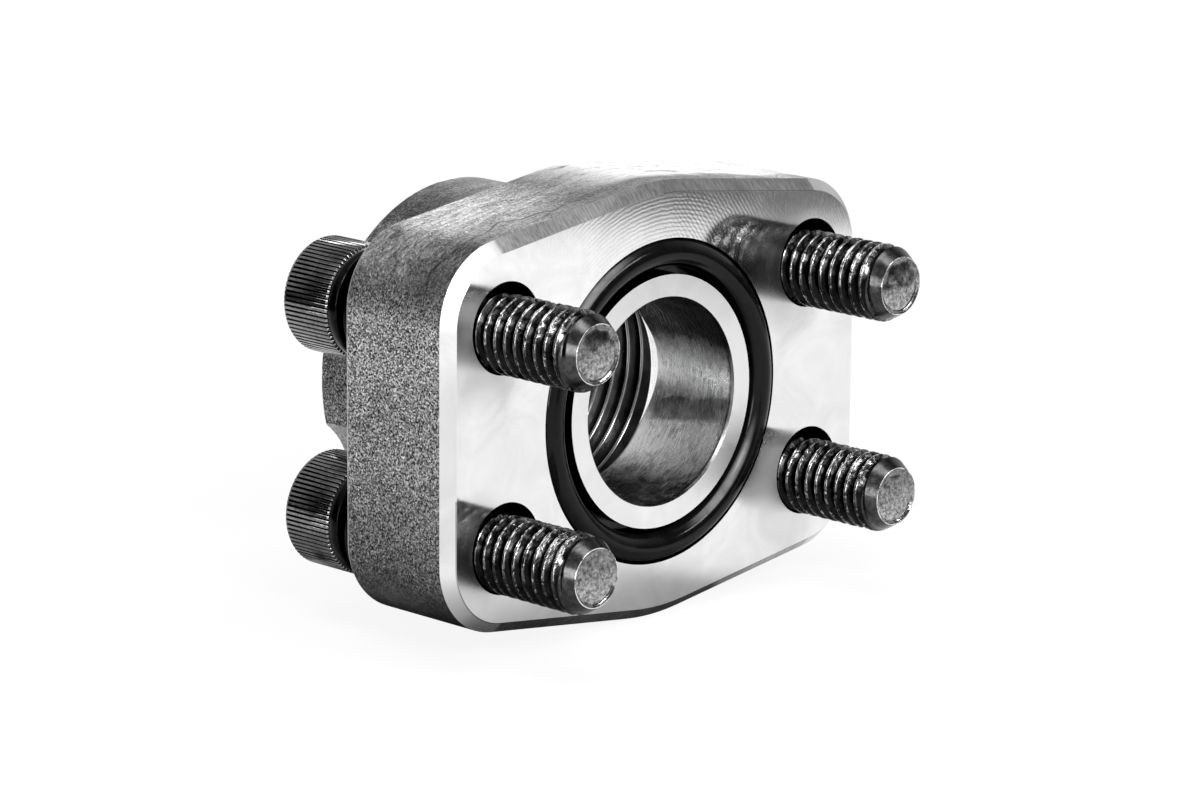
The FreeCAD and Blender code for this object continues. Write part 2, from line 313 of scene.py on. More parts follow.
def forged_skin(n, place):
    """Blasted scale: salt and pepper grain, flow lines on the long sides; painted shade darkens it towards
    the bottom, and painted highlights lighten the ends of the slopes, the top ridge and the rear edge.
    """
    x, y, z = n.parts(place)
    grain = n.noise(place, 3.6, 2.0, 0.7)
    specks = n.node("TexVoronoi", {"Vector": place, "Scale": 5.2}).outputs["Color"]
    speck = n.parts(specks)[0]
    pepper = n.noise(place, 2.0, 2.0, 0.6)
    stains = n.noise(place, 0.16, 4.0, 0.6, 0.6)
    flow = n.noise(n.vector("MULTIPLY", place, (0.12, 0.8, 0.8)), 1.1, 4.0, 0.7, 1.2)
    sides = n.step(n.size(z), 16.0, 20.0)
    from_middle = n.size(x)
    salt = n.times(n.spread(grain, 0.38, 0.62, 0.30, 1.10), n.spread(speck, 0.1, 0.95, 0.08, 1.15))
    lines = n.spread(flow, 0.38, 0.62, 0.12, 0.80)
    skin = n.mix(n.times(sides, 0.55), salt, lines)
    skin = n.times(skin, n.spread(stains, 0.3, 0.7, 0.75, 1.15))
    skin = n.times(skin, n.spread(pepper, 0.35, 0.65, 0.8, 1.15))
    # painted shade: the skin is darker towards the bottom, most near the floor, and lighter towards the top
    skin = n.times(skin, n.step(z, -26.5, -8.0, 0.2, 1.0))
    skin = n.times(skin, n.spread(z, -12.0, 10.0, 0.48, 1.12))
    corner = n.all_of(n.step(z, 14.0, 19.0), n.step(z, 27.0, 22.0), n.step(from_middle, 24.0, 29.0))
    skin = n.scaled(skin, corner, 0.48)
    # painted light: on the slopes the skin is darker towards the middle and lighter towards the ends
    skin = n.scaled(skin, sides, n.spread(from_middle, 9.0, 21.0, 0.48, 1.55))
    skin = n.times(skin, n.step(y, 17.3, 17.6, 1.0, 0.6))
    # along the long sides a lap in the forging parts the dark metal near the face from the bright behind
    wander = n.spread(n.noise(n.joined(x, 0.0, 0.0), 0.11, 2.0, 0.5), 0.3, 0.7, 2.6, 6.0)
    behind_lap = n.minus(y, wander)
    skin = n.scaled(skin, sides, n.step(behind_lap, -1.5, 6.0, 0.42, 0.95))
    lap = n.all_of(n.step(n.size(behind_lap), 0.34, 0.10), sides, n.step(flow, 0.44, 0.52))
    skin = n.mix(n.times(lap, 0.85), skin, 0.03)
    # painted highlight: near-white streaks along the top ridge
    apex_highlight = n.all_of(n.step(z, 21.5, 24.5), n.step(x, -9.0, 2.0), n.step(flow, 0.30, 0.48),
                    n.step(behind_lap, -1.0, 2.0), n.below(y, 17.4))
    skin = n.mix(n.times(apex_highlight, 0.9), skin, 0.95)
    # painted highlight: a thin bright line along the rear edge
    rear_edge_highlight = n.all_of(n.step(y, 16.6, 17.0), n.step(y, 17.39, 17.2))
    skin = n.mix(n.times(rear_edge_highlight, 0.85), skin, 0.9)
    height = n.plus(grain, n.times(pepper, 1.2))
    height = n.plus(height, n.times(flow, n.times(sides, 1.4)))
    return skin, n.spread(grain, 0.35, 0.65, 0.52, 0.34), height


def cut_metal(n, place, on, from_axis, from_bolt):
    """Turned and milled steel, with its marks, dull handled patches and smears of oil, and painted light:
    dark reflections of two screws, shade and highlights in the bore and the tapped wall, and shade on the
    chamfer.
    """
    x, y, z = n.parts(place)
    face, chamfer = on["face"], on["chamfer"]
    smudges = n.noise(place, 0.12, 3.0, 0.6, 1.0)
    turned = n.noise(n.joined(0.0, y, from_axis), 5.0, 2.0, 0.6)
    scratches = n.noise(n.vector("MULTIPLY", place, (5.0, 0.6, 0.5)), 1.2, 3.0, 0.6, 0.3)
    arcs = n.rings(place, 3.5, 1.4)
    chatter = n.rings(n.vector("SUBTRACT", place, CHATTER_CENTRE), 3.0, 1.2)
    upper = n.times(face, n.step(z, 14.5, 19.0))
    arcs_here = n.times(upper, n.step(n.size(n.plus(x, 2.5)), 15.0, 7.0))
    chatter_here = n.times(upper, n.step(n.size(n.minus(x, 9.5)), 10.0, 4.0))
    bright = n.spread(smudges, 0.35, 0.65, 0.76, 0.86)
    land = n.all_of(face, n.below(from_axis, (GROOVE_RADIUS - GROOVE_WIDTH) / MM))
    bright = n.times(bright, n.mix(land, n.spread(z, 4.0, 16.0, 1.0, 1.14), 1.18))
    # painted reflections: the face is darkened beside two bolt holes, where it would mirror the screws
    bright = n.scaled(bright, n.times(face, n.step(n.distance(place, PAINTED_SCREW_REFLECTION_LEFT), 8.0, 1.0)), 0.45)
    bright = n.scaled(bright, n.times(face, n.step(n.distance(place, PAINTED_SCREW_REFLECTION_RIGHT), 8.5, 1.0)), 0.35)
    # painted shade: the chamfer is a little darker towards the bottom
    bright = n.scaled(bright, n.times(chamfer, n.step(z, 12.0, 8.0)), 0.92)
    bright = n.scaled(bright, n.times(arcs_here, arcs), 0.94)
    bright = n.scaled(bright, n.times(chatter_here, chatter), 0.76)
    shine = n.mix(land, n.spread(scratches, 0.3, 0.7, 0.07, 0.12), 0.36)

    # the face is dull on the -X side of each bolt hole, and palest at the lower right, where the paleness
    # is a painted highlight
    past_bolt = n.minus(x, n.times(n.math("SIGN", x), BOLT_X / MM))
    ragged = n.plus(from_bolt, n.spread(smudges, 0.3, 0.7, -1.2, 1.2))
    above_bolt = n.minus(z, n.times(n.math("SIGN", z), BOLT_Z / MM))
    handled = n.all_of(n.without(face, land), n.step(ragged, 14.0, 5.0),
                       n.step(past_bolt, 5.0, -2.0), n.step(above_bolt, 7.0, 2.5))
    shine = n.mix(handled, shine, n.step(n.times(x, z), -250.0, 250.0, 0.44, 0.30))
    lower_right = n.all_of(handled, n.above(x, 0.0), n.below(z, 0.0))
    shine = n.mix(lower_right, shine, 0.50)
    bright = n.scaled(bright, lower_right, 1.15)

    # the turned corners of the chamfer are evenly bright and matt
    turned_corner = n.all_of(chamfer, n.step(n.size(x), 25.5, 27.0), n.step(n.size(z), 12.0, 15.0))
    bright = n.mix(turned_corner, bright, 0.84)
    shine = n.mix(turned_corner, shine, 0.42)

    # cross strokes on the sloping chamfers, and a painted shade line, thin and dark, where the chamfer
    # meets the face, apart from the upper left
    strokes = n.noise(n.vector("MULTIPLY", place, (3.4, 0.35, 0.35)), 2.2, 3.0, 0.7)
    sloping = n.all_of(chamfer, n.step(n.size(z), 18.0, 19.0), n.step(n.size(x), 27.2, 26.6))
    bright = n.mix(sloping, bright, n.times(n.spread(strokes, 0.35, 0.65, 0.30, 0.75),
                                            n.spread(smudges, 0.35, 0.65, 0.7, 1.0)))
    shine = n.mix(sloping, shine, 0.30)
    line = n.all_of(chamfer, n.step(y, 0.16, 0.06), n.any_of(n.above(x, 0.0), n.below(z, -6.0)))
    bright = n.mix(n.times(line, 0.65), bright, 0.12)

    # the bore: turning marks round it, a smoothed patch that is painted lighter as a highlight, a smear
    # across, painted shade towards its top and bottom and at its mouth, and a painted highlight at its far
    # end
    around = n.times(n.math("ARCTAN2", z, x), BORE_RADIUS / MM)
    tool_marks = n.noise(n.joined(n.times(around, 0.5), n.times(y, 5.5), 0.0), 0.9, 3.0, 0.75, 0.1)
    blotches = n.noise(place, 0.42, 4.0, 0.7, 0.8)
    middle = n.plus(z, n.plus(n.times(y, 0.13), n.spread(blotches, 0.3, 0.7, 2.8, 3.6)))
    smear = n.all_of(n.step(n.size(middle), 1.6, 1.1), n.above(x, 0.0), n.step(y, -3.0, 4.0),
                     n.spread(blotches, 0.35, 0.65, 1.0, 0.6))
    bore = n.times(n.spread(tool_marks, 0.34, 0.66, 0.42, 1.30),
                   n.spread(blotches, 0.35, 0.65, 0.62, 1.40))
    bore = n.math("MINIMUM", bore, 1.0)
    # a smoothed patch, painted lighter as a highlight
    rubbed_patch_highlight = n.all_of(n.step(y, 5.0, 11.0), n.step(z, -11.5, -9.0), n.step(z, -2.0, -6.5))
    polish_and_highlight = n.spread(tool_marks, 0.34, 0.55, 0.75, 1.0)
    bore = n.mix(n.times(rubbed_patch_highlight, n.spread(blotches, 0.40, 0.55, 0.0, 1.0)), bore, polish_and_highlight)
    bore = n.mix(n.times(smear, 0.9), bore, n.spread(tool_marks, 0.35, 0.65, 0.09, 0.26))
    # painted highlight: the far end of the bore's wall is white
    bore = n.mix(n.step(y, 11.5, 13.0), bore, 1.0)
    # painted shade: the bore darkens towards its top and bottom
    painted_shade_height = n.plus(z, n.spread(blotches, 0.3, 0.7, -1.1, 1.1))
    bore = n.times(bore, n.times(n.step(painted_shade_height, 6.0, -0.5, 0.02, 1.0),
                                 n.step(painted_shade_height, -13.0, -10.0, 0.06, 1.0)))
    # painted shade at the bore's mouth
    bore = n.times(bore, n.step(y, 0.3, 0.9, 0.2, 1.0))
    bright = n.mix(on["bore"], bright, bore)
    shine = n.mix(on["bore"], shine, n.mix(rubbed_patch_highlight, n.spread(tool_marks, 0.3, 0.7, 0.20, 0.34), 0.11))

    # the tapped wall: painted shade lies black in the roots near the bore, the crests are lighter, and the
    # mouth before the thread is painted white as a highlight
    crest = n.step(from_axis, (THREAD_RADIUS - PIPE_DEPTH * 0.86) / MM, (THREAD_RADIUS - PIPE_DEPTH) / MM)
    shaded_roots = n.all_of(n.step(y, 29.0, 24.0), n.step(x, -6.0, 0.0))
    painted_root_colour = n.mix(shaded_roots, 0.8, n.spread(blotches, 0.3, 0.7, 0.01, 0.09))
    painted_root_colour = n.mix(n.step(y, PIPE_START / MM + 0.1, PIPE_START / MM - 0.2), painted_root_colour, 1.0)
    bright = n.mix(on["tapped"], bright, n.mix(crest, painted_root_colour, 0.45))
    shine = n.mix(on["tapped"], shine, 0.18)

    bright = n.mix(on["groove"], bright, n.spread(blotches, 0.3, 0.7, 0.008, 0.035))
    bright = n.mix(on["hole"], bright, n.spread(blotches, 0.3, 0.7, 0.03, 0.16))
    bright = n.mix(on["scallop"], bright, n.spread(n.noise(place, 2.4, 3.0, 0.7), 0.35, 0.65, 0.15, 0.60))
    shine = n.mix(on["scallop"], shine, 0.42)

    # the run-out of the thread breaks the far edge of the bore in a crescent that faces outwards, painted
    # near white as a highlight
    crescent = n.times(n.step(z, 9.0, 2.0), n.step(z, -9.0, 0.0, 0.15, 1.0))
    reach = n.minus(BORE_LENGTH / MM, n.times(crescent, 1.5))
    sunk = n.times(n.all_of(on["bore"], n.above(x, 0.0)), n.math("MAXIMUM", n.minus(y, reach), 0.0))
    bright = n.mix(n.above(sunk, 0.001), bright, 0.95)

    height = n.plus(n.times(arcs, n.mix(arcs_here, 0.05, 0.3)),
                    n.times(chatter, n.times(chatter_here, 0.35)))
    height = n.plus(height, n.times(turned, 0.6))
    height = n.plus(height, n.times(scratches, 0.4))
    height = n.plus(height, n.times(sloping, n.times(strokes, 12.0)))
    height = n.plus(height, n.times(on["bore"], n.times(tool_marks, 6.0)))
    height = n.plus(height, n.times(sunk, MM / METAL_RELIEF))
    return bright, shine, height


def flange_steel():
    """A shot-blasted forging, turned or milled bright on its face, seats and bores."""
    n = Nodes("flange_steel")
    place = n.place()
    on, from_axis, from_bolt = flange_places(n, place)
    machined = n.any_of(*on.values())
    skin, skin_shine, skin_height = forged_skin(n, place)
    bright, shine, metal_height = cut_metal(n, place, on, from_axis, from_bolt)
    rough = n.bump(skin_height, SKIN_RELIEF)
    fine = n.bump(metal_height, METAL_RELIEF)
    normal = n.node("Mix", {"Factor": machined, 4: rough, 5: fine}, data_type="VECTOR").outputs[1]
    return n.finish(
        Base_Color=n.shade(n.mix(machined, skin, bright)), Metallic=1.0,
        Roughness=n.mix(machined, skin_shine, shine), Normal=normal,
    )


def screw_steel():
    """Black oxide under a film of oil, bright from wear on crests and ribs, and worn to grey steel on the
    cone and the tip; on the threads the wear is a painted highlight that keeps to the upper side, and the
    tip is painted lighter below.
    """
    n = Nodes("screw_steel")
    place = n.place()
    x, y, z = n.parts(place)
    from_axis = n.vector("LENGTH", n.joined(x, 0.0, z))
    low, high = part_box("screw_top_left")
    length = (high.y - low.y - HEAD_HEIGHT) / MM
    along = n.plus(y, length)
    # each screw has its own stains, since the noise is read at a place that moves with the screw's own
    spot = n.vector("ADD", place, n.vector("SCALE", n.node("ObjectInfo").outputs["Location"], scale=3 / MM))
    oil = n.noise(spot, 0.8, 3.0, 0.6, 0.8)
    runs = n.noise(spot, 1.5, 4.0, 0.7, 1.0)
    dust = n.noise(spot, 4.0, 3.0, 0.7)
    blots = n.noise(spot, 0.9, 4.0, 0.7, 0.4)
    radius = SCREW_RADIUS / MM
    tip_radius = TIP_RADIUS / MM
    tip = n.all_of(n.below(along, 0.45), n.below(from_axis, tip_radius + 0.01))
    rim = n.all_of(tip, n.step(from_axis, tip_radius - 0.12, tip_radius - 0.07), n.step(blots, 0.44, 0.52))
    cone = n.all_of(n.below(along, TIP_CHAMFER / MM), n.above(from_axis, tip_radius + 0.01))
    rod = n.below(y, 0.0)
    crest = n.all_of(rod, n.step(from_axis, radius - 0.22, radius - 0.08))
    nicks = n.all_of(rod, n.step(from_axis, radius - 0.20, radius - 0.02), n.step(runs, 0.55, 0.64))
    knurl = n.all_of(n.above(y, RING_WIDTH / MM), n.step(from_axis, (HEAD_RADIUS - KNURL_DEPTH * 0.5) / MM,
                                                         HEAD_RADIUS / MM - 0.03))
    teeth_highlight = n.all_of(n.step(y, RING_WIDTH / MM - 0.04, RING_WIDTH / MM + 0.04),
                     n.step(y, RING_WIDTH / MM + 0.24, RING_WIDTH / MM + 0.12), n.above(from_axis, 6.8))
    head_end = n.above(y, (HEAD_HEIGHT - HEAD_CHAMFER) / MM + 0.3)
    colour = n.spread(oil, 0.3, 0.7, 0.004, 0.014)
    colour = n.mix(n.any_of(head_end, n.all_of(n.above(y, 1.0), n.below(from_axis, 5.0))), colour,
                   n.spread(runs, 0.35, 0.65, 0.03, 0.08))
    # painted highlight: the worn flanks are lighter only on the screw's upper side
    burnish_and_highlight = n.all_of(rod, n.step(from_axis, radius - 0.75, radius - 0.35), n.step(z, 0.6, 3.0))
    worn = n.spread(oil, 0.42, 0.60, 0.02, 0.40)
    colour = n.mix(burnish_and_highlight, colour, worn)
    crest_wear_and_highlight = n.spread(oil, 0.38, 0.60, 0.06, 0.45)
    # painted highlight: the worn crests fade to dark on the screw's lower side
    colour = n.mix(n.times(crest, n.step(z, -1.5, 2.5, 0.06, 1.0)), colour, crest_wear_and_highlight)
    colour = n.mix(knurl, colour, n.spread(runs, 0.35, 0.65, 0.12, 0.26))
    # the nicks are wear; the teeth where the knurl starts get a painted highlight line
    colour = n.mix(n.any_of(nicks, n.times(teeth_highlight, 0.5)), colour, 0.55)
    colour = n.mix(cone, colour, n.spread(blots, 0.40, 0.62, 0.035, 0.08))
    # the tip's mottles, painted darker above and lighter below as shading
    mottles_and_shading = n.times(n.spread(n.noise(spot, 2.2, 4.0, 0.75, 0.3), 0.35, 0.65, 0.06, 0.45),
                      n.step(z, 2.5, -2.5, 0.75, 1.35))
    colour = n.mix(tip, colour, mottles_and_shading)
    # painted highlight: a thin broken bright ring round the edge of the tip
    colour = n.mix(rim, colour, 0.85)
    shine = n.mix(n.any_of(tip, cone), n.spread(dust, 0.3, 0.7, 0.07, 0.16),
                  n.spread(blots, 0.3, 0.7, 0.15, 0.26))
    near_tip = n.step(along, 8.0, 3.0)
    height = n.plus(n.times(runs, n.spread(near_tip, 0.0, 1.0, 0.2, 1.6)), n.times(dust, 0.12))
    height = n.scaled(height, n.below(along, TIP_CHAMFER / MM + 0.3), 0.12)
    return n.finish(Base_Color=n.shade(colour), Metallic=1.0, Roughness=shine,
                    Normal=n.bump(height, SCREW_RELIEF))


def washer_steel():
    """Dark spring steel with a film of oil and a little grain."""
    n = Nodes("washer_steel")
    place = n.place()
    grain = n.noise(place, 3.0, 3.0, 0.6)
    stains = n.noise(place, 0.6, 3.0, 0.6, 0.5)
    colour = n.spread(stains, 0.3, 0.7, 0.004, 0.015)
    shine = n.spread(grain, 0.3, 0.7, 0.25, 0.42)
    return n.finish(Base_Color=n.shade(colour), Metallic=1.0, Roughness=shine,
                    Normal=n.bump(grain, WASHER_RELIEF))


def seal_rubber():
    """Moulded black rubber with a film of oil, specks of dust and a dull grey painted sheen on one
    shoulder.
    """
    n = Nodes("seal_rubber")
    place = n.place()
    film = n.noise(place, 0.5, 3.0, 0.55, 0.4)
    dust = n.step(n.noise(place, 2.6, 3.0, 0.7), 0.72, 0.77)
    facing = n.node("VectorMath", {0: n.node("NewGeometry").outputs["Normal"], 1: PAINTED_SHEEN_SIDE},
                    operation="DOT_PRODUCT").outputs["Value"]
    # painted highlight: a dull grey sheen, smoother too, where the rubber faces up, left and forwards
    painted_sheen = n.all_of(n.step(facing, 0.92, 0.995), n.spread(film, 0.3, 0.7, 0.6, 1.0))
    colour = n.mix(dust, n.spread(film, 0.3, 0.7, 0.003, 0.007), 0.10)
    colour = n.mix(painted_sheen, colour, 0.24)
    shine = n.mix(painted_sheen, n.spread(film, 0.3, 0.7, 0.08, 0.16), 0.26)
    grain = n.noise(place, 6.0, 2.0, 0.5)
    return n.finish(Base_Color=n.shade(colour), Roughness=shine, Specular_IOR_Level=0.16,
                    Normal=n.bump(grain, SEAL_RELIEF))


def floor_white():
    """A pale table that keeps a soft shadow and looks white; the metal sees a pool of light on it, with a
    painted shadow of the part.
    """
    n = Nodes("floor_white")
    place = n.place()
    weave = n.noise(place, 0.02, 2.0, 0.5)
    matt = n.node("BsdfDiffuse", {"Color": n.shade(n.spread(weave, 0.3, 0.7, 0.095, 0.105))})
    sees = n.node("LightPath").outputs
    away = n.vector("LENGTH", place)
    seen = n.step(away, POOL_START, FLOOR_FADE, FLOOR_GLOW, 1.0)
    # in the metal the floor's glow holds a painted shadow of the part: it is black under the part,
    # grey beside it, and black again beyond the pool, except towards the camera
    x, y, z = n.parts(place)
    middle = HUB_END / MM / 2
    beside = n.math("MAXIMUM", n.minus(n.size(x), cad_high.x / MM - 6.0), 0.0)
    before = n.minus(n.size(n.minus(y, middle)), middle)
    outside = n.vector("LENGTH", n.joined(beside, n.math("MAXIMUM", before, 0.0), 0.0))
    outside = n.plus(outside, n.step(x, 10.0, 25.0, 0.0, 18.0))
    to_camera = n.math("DIVIDE", n.plus(n.times(x, CAMERA_X), n.times(y, CAMERA_Y)), away)
    pool = n.any_of(n.step(away, POOL_END, POOL_START), n.step(to_camera, 0.80, 0.90))
    beneath = n.step(outside, 0.5, 4.0)
    mirrored = n.all_of(pool, beneath, n.step(outside, 4.0, 32.0, 0.30, 1.0), MIRROR_GLOW)
    reflected = n.any_of(sees["Is Glossy Ray"], sees["Is Transmission Ray"])
    strength = n.plus(n.times(sees["Is Camera Ray"], seen), n.times(reflected, mirrored))
    glow = n.node("Emission", {"Color": 1.0, "Strength": strength})
    both = n.node("AddShader", {0: matt.outputs[0], 1: glow.outputs[0]})
    n.tree.links.new(both.outputs[0], n.output.inputs[0])
    return n.material


def make_piece(name, points, faces, material, sharp_angle=35):
    """A mesh object whose coincident points are joined and whose sharp edges stay sharp."""
    mesh = bpy.data.meshes.new(name)
    mesh.from_pydata(points, [], faces)
    work = bmesh.new()
    work.from_mesh(mesh)
    bmesh.ops.remove_doubles(work, verts=work.verts, dist=1e-7)
    bmesh.ops.dissolve_degenerate(work, dist=1e-8, edges=work.edges)
    bmesh.ops.recalc_face_normals(work, faces=work.faces)
    work.to_mesh(mesh)
    work.free()
    mesh.shade_smooth()
    mesh.set_sharp_from_angle(angle=math.radians(sharp_angle))
    mesh.materials.append(material)
    piece = bpy.data.objects.new(name, mesh)
    bpy.context.scene.collection.objects.link(piece)
    return piece


def on_circle(radius, angle, level):
    """A point round the Y axis: angle 0 lies towards +Z, and it grows towards +X."""
    return Vector((radius * math.sin(angle), level, radius * math.cos(angle)))


def ring_faces(rows, segments, first=0):
    """The faces between rows of points, each row a closed ring."""
    faces = []
    for row in range(rows - 1):
        low = first + row * segments
        for j in range(segments):
            k = (j + 1) % segments
            faces.append((low + j, low + k, low + segments + k, low + segments + j))
    return faces


def helix_points(levels_and_radii, pitch, first_level, last_level, segments, shape):
    """Points of a thread's skin, in rows that follow the helix.

    levels_and_radii is the profile over one pitch, as shares of the pitch with radii. shape
    gives the final radius from the profile's radius, the level and the angle. Rows past an
    end are gathered on that end's circle.
    """
    per_pitch = len(levels_and_radii)
    start = first_level - 1.25 * pitch
    rows = per_pitch * (math.ceil((last_level - start) / pitch) + 2)
    points = []
    for row in range(rows):
        share, radius = levels_and_radii[row % per_pitch]
        for j in range(segments):
            level = start + pitch * (row // per_pitch + share + j / segments)
            level = min(max(level, first_level), last_level)
            angle = TURN * j / segments
            points.append(on_circle(shape(radius, level, angle), angle, level))
    faces = []
    for row in range(rows - 1):
        for j in range(segments):
            far = row + per_pitch if j == segments - 1 else row
            if far + 1 < rows:
                k = (j + 1) % segments
                faces.append((row * segments + j, far * segments + k,
                              (far + 1) * segments + k, (row + 1) * segments + j))
    return points, faces


def thread_profile(crest, root, pitch, crest_round):
    """One pitch of a 60 degree thread from crest to crest, as shares of the pitch with radii.

    The crest and the root are arcs that meet the straight flanks; the root's arc takes up
    what the depth and the crest leave of the pitch.
    """
    outward = 1 if crest > root else -1
    depth = abs(crest - root)
    root_round = pitch / 2 / math.tan(math.radians(30)) - depth - crest_round
    angles = [math.radians(angle) for angle in (0, 20, 40, 60)]
    half = [(crest_round * math.sin(a), crest - outward * crest_round * (1 - math.cos(a))) for a in angles]
    half += [(pitch / 2 - root_round * math.sin(a), root + outward * root_round * (1 - math.cos(a)))
             for a in reversed(angles)]
    back = [(pitch - across, radius) for across, radius in half[-2:0:-1]]
    return [(across / pitch, radius) for across, radius in half + back]


def screw_rod(seed, length):
    """The threaded rod of a screw, its bearing face at Y = 0, with nicked crests and a domed tip."""
    segments = 128
    tip_level = -length
    thread_end = THREAD_LENGTH - length
    head_level = 0.5 * MM
    crest = SCREW_RADIUS - 0.02 * MM
    root = crest - THREAD_DEPTH
    profile = thread_profile(crest, root, PITCH, CREST_ROUND)

    def shape(radius, level, angle):
        spot = on_circle(8.0, angle, level / MM * 1.3) + Vector((0, seed * 31.0, 0))
        height = (radius - root) / (crest - root)
        nick = max(0.0, noise.noise(spot) - 0.30) * 0.5 * MM * height
        wobble = noise.noise(spot * 2.3) * 0.03 * MM * height
        radius = radius - nick - abs(wobble)
        plain = min(1.0, max(0.0, (level - thread_end) / PITCH))
        radius = radius + (crest - radius) * plain
        fade = min(1.0, max(0.0, (level - tip_level - 0.7 * MM) / (1.5 * MM)))
        radius = radius + (crest - radius) * (1 - fade)
        cone = TIP_RADIUS + (level - tip_level) / TIP_CHAMFER * (SCREW_RADIUS - TIP_RADIUS)
        depth = (crest - radius) * fade
        return min(radius, cone - depth * max(0.0, 1 - (level - tip_level) / (TIP_CHAMFER * 1.3)) * 0.3)

    points, faces = helix_points(profile, PITCH, tip_level, head_level, segments, shape)

    # the tip: a raised rim, and a low dome inside it
    rings = [(1.0, 0.0), (0.985, 0.0), (0.955, 0.0), (0.90, 0.22), (0.84, 0.26), (0.7, 0.17), (0.5, 0.09),
             (0.3, 0.04), (0.12, 0.01), (0.0, 0.0)]
    first = len(points)
    for share, depth in rings:
        for j in range(segments):
            angle = TURN * j / segments
            dent = noise.noise(on_circle(share * 2.5, angle, seed * 7.0)) * 0.10 * MM * (0 < share < 0.95)
            points.append(on_circle(TIP_RADIUS * share, angle, tip_level + max(0.0, depth * MM + dent)))
    faces += ring_faces(len(rings), segments, first)

    first = len(points)
    for share in (1.0, 0.0):
        points += [on_circle(crest * share, TURN * j / segments, head_level) for j in range(segments)]
    faces += ring_faces(2, segments, first)
    return points, faces


def screw_head(first):
    """The knurled head with its plain ring and hexagon socket, its bearing face at Y = 0."""
    per_rib = 8
    segments = KNURL_RIBS * per_rib
    knurl_start = RING_WIDTH
    knurl_end = HEAD_HEIGHT - HEAD_CHAMFER
    mouth = 0.25 * MM
    rows = [
        # radius, level, share of knurl, share of hexagon
        (0.0, 0.0, 0, 0),
        (HEAD_RADIUS - 2.0 * MM, 0.0, 0, 0),
        (RING_RADIUS - FOOT_CHAMFER, 0.0, 0, 0),
        (RING_RADIUS - 0.06 * MM, FOOT_CHAMFER * 0.3, 0, 0),
        (RING_RADIUS, FOOT_CHAMFER, 0, 0),
        (RING_RADIUS, knurl_start - 0.12 * MM, 0, 0),
        (RING_RADIUS - 0.08 * MM, knurl_start, 0, 0),
        (HEAD_RADIUS, knurl_start + 0.15 * MM, 1, 0),
        (HEAD_RADIUS, knurl_end - 0.1 * MM, 1, 0),
        (HEAD_RADIUS - 0.1 * MM, knurl_end + 0.06 * MM, 0.8, 0),
        (HEAD_RADIUS - 0.3 * MM, knurl_end + 0.28 * MM, 0.25, 0),
        (HEAD_RADIUS - HEAD_CHAMFER, HEAD_HEIGHT - 0.04 * MM, 0, 0),
        (HEAD_RADIUS - HEAD_CHAMFER - 0.12 * MM, HEAD_HEIGHT, 0, 0),
        (SOCKET_APOTHEM / math.cos(math.radians(30)) + mouth, HEAD_HEIGHT, 0, 0),
        (SOCKET_APOTHEM + 0.02 * MM, HEAD_HEIGHT - mouth, 0, 1),
        (SOCKET_APOTHEM, HEAD_HEIGHT - mouth * 1.5, 0, 1),
        (SOCKET_APOTHEM, HEAD_HEIGHT - SOCKET_DEPTH, 0, 1),
        (SOCKET_APOTHEM - 0.02 * MM, HEAD_HEIGHT - SOCKET_DEPTH, 0, 0),
        (0.0, HEAD_HEIGHT - SOCKET_DEPTH - SOCKET_POINT, 0, 0),
    ]
    points = []
    for radius, level, knurl, hexagon in rows:
        for j in range(segments):
            angle = TURN * j / segments
            from_groove = abs((j + per_rib // 2) % per_rib - per_rib // 2) / per_rib
            groove = KNURL_DEPTH * knurl * max(0.0, 1 - from_groove * 4)
            corner = (angle - math.radians(60)) % math.radians(60) - math.radians(30)
            to_flat = (radius / math.cos(corner) - radius) * hexagon
            points.append(on_circle(radius - groove + to_flat, angle + TURN / 12, level))
    return points, ring_faces(len(rows), segments, first)


def make_screw(place_name, seed, material):
    node = f"screw_{place_name}"
    low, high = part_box(node)
    bearing = high.y - HEAD_HEIGHT
    rod_points, rod_faces = screw_rod(seed, bearing - low.y)
    head_points, head_faces = screw_head(len(rod_points))
    turn = Matrix.Rotation(-math.radians(SCREW_TURNS[place_name]), 3, "Y")
    points = [turn @ point for point in rod_points + head_points]
    piece = make_piece(f"{node}_threaded", points, rod_faces + head_faces,
                       material, sharp_angle=50)
    piece.location = ((low.x + high.x) / 2, bearing, (low.z + high.z) / 2)
    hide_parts(node)
    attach(piece, "root")


def make_washer(place_name, material):
    """One turn of a square left-hand coil with broken edges, its split turned up and towards +X."""
    node = f"washer_{place_name}"
    low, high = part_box(node)
    edge = WASHER_EDGE
    corners = []
    for radius, level, side_r, side_y in (
        (WASHER_INSIDE, 0, 1, 1), (WASHER_OUTSIDE, 0, -1, 1),
        (WASHER_OUTSIDE, WASHER_THICKNESS, -1, -1), (WASHER_INSIDE, WASHER_THICKNESS, 1, -1),
    ):
        pair = [(radius + side_r * edge, level), (radius, level + side_y * edge)]
        corners += pair if side_r * side_y < 0 else pair[::-1]
    steps = 144
    count = len(corners)
    points = []
    for step in range(steps + 1):
        share = step / steps
        angle = math.radians(90) - WASHER_SPLIT - share * WASHER_TURN * TURN
        rise = WASHER_THICKNESS * WASHER_TURN * share
        points += [on_circle(radius, angle, level + rise) for radius, level in corners]
    faces = ring_faces(steps + 1, count)
    faces += [tuple(range(count)), tuple(steps * count + i for i in range(count))]
    piece = make_piece(f"{node}_coil", points, faces, material, sharp_angle=30)
    screw_low, screw_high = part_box(f"screw_{place_name}")
    middle = (screw_low + screw_high) / 2
    piece.location = (middle.x, low.y, middle.z - WASHER_DROP)
    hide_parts(node)
    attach(piece, "root")


